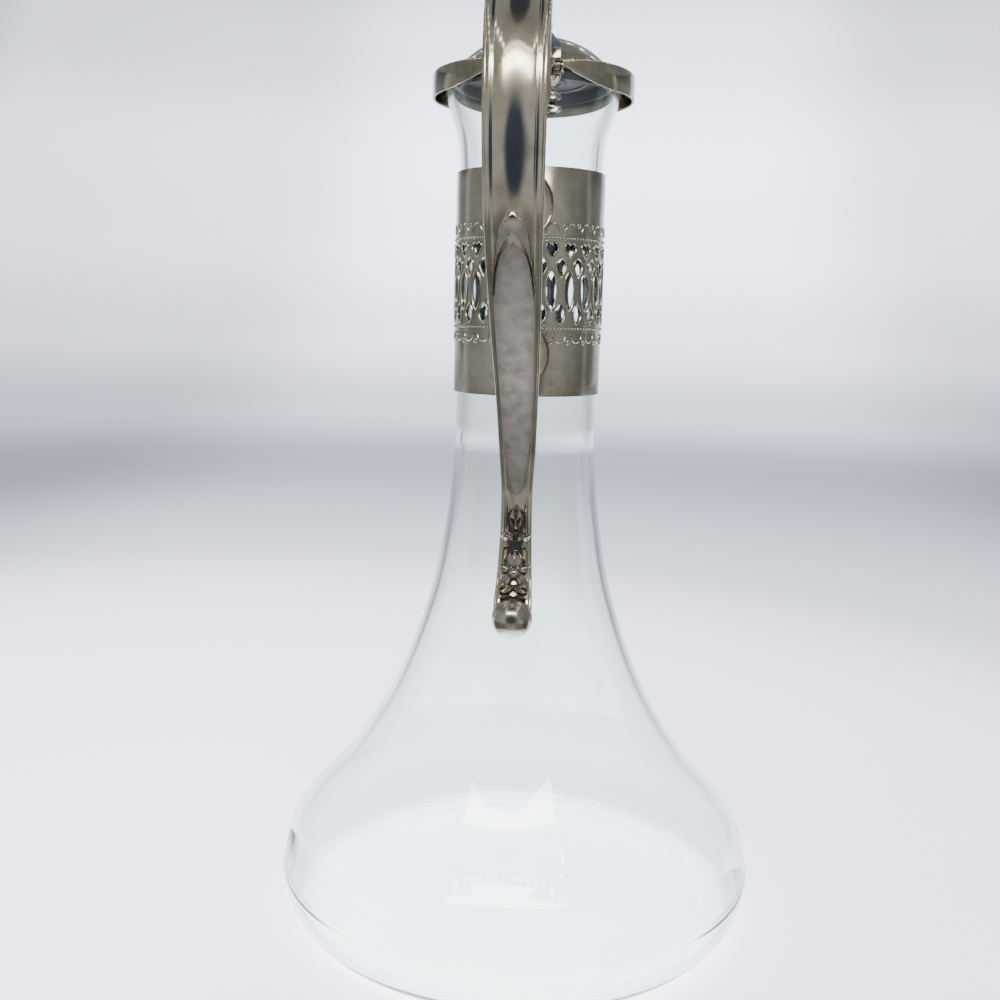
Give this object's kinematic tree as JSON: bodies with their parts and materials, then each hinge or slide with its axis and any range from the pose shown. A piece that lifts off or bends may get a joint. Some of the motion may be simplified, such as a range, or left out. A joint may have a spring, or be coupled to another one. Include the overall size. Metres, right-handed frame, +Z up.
{
  "type": "claret jug",
  "caption": "Glass claret jug with a long neck, a pierced plated neck band, a cast S-shaped strap handle and a hinged domed lid with a thumb plate.",
  "frame": {"origin": "centre of the jug's foot, on the surface that it stands on", "axes": "+Z up along the jug's axis; the handle and the hinge are on the -Y side; +X is to the right seen from the handle"},
  "size_m": [0.1492, 0.1492, 0.2708],
  "materials": {
    "clear_glass": "clear, faintly green, polished",
    "plated_band": "worn silver plate, lightly tarnished",
    "plated_casting": "worn silver plate on a casting",
    "plated_lid": "worn silver plate, lightly tarnished",
    "plated_liner": "dull plate, darkened",
    "packing": "matt, chalky",
    "brass_screws": "plain"
  },
  "bodies": {
    "jug": {"glass_body": "clear_glass", "collar_band": "plated_band", "collar_seam_strap": "plated_band", "upper_packing_ring": "packing", "lower_packing_ring": "packing", "upper_mount_plate": "plated_casting", "lower_mount_plate": "plated_casting", "upper_leg": "plated_casting", "lower_leg": "plated_casting", "mount_screws": "brass_screws", "handle_casting": "plated_casting", "hinge_lug": "plated_casting", "hinge_pin": "plated_casting"},
    "lid": {"lid_shell": "plated_lid", "lid_liner": "plated_liner", "lid_hinge_leaf": "plated_lid", "thumb_plate": "plated_lid", "lid_rivets": "plated_lid"}
  },
  "joints": [
    {"name": "lid_hinge", "type": "hinge", "parent": "jug", "child": "lid", "pos_m": [0, -0.0322, 0.2541], "axis": [1, 0, 0], "range_deg": [0, 49]}
  ]
}
